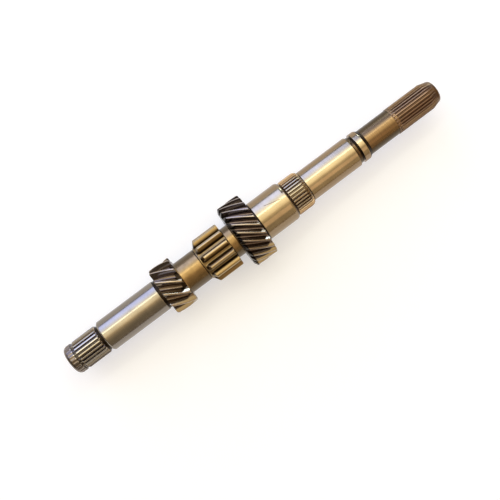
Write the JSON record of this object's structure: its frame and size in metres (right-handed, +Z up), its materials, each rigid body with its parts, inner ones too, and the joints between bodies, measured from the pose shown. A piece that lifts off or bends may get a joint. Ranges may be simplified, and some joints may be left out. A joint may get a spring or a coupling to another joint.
{
  "type": "countershaft",
  "caption": "One-piece steel gearbox shaft with helical and spur gears, ground journals, splines and circlip grooves along its length.",
  "frame": {"origin": "on the shaft's axis at half its length, which is also the centre of the largest gear's circle seen along the axis", "axes": "+X along the axis from the short splined rear end to the long thin splined end, +Z up with the shaft lying on its largest gear"},
  "size_m": [0.3636, 0.0558, 0.0558],
  "materials": {
    "case_hardened_steel": "ground and polished journals, satin golden-brown forged stretches, dark oiled tooth gaps"
  },
  "bodies": {
    "root": {"countershaft": "case_hardened_steel"}
  },
  "joints": []
}
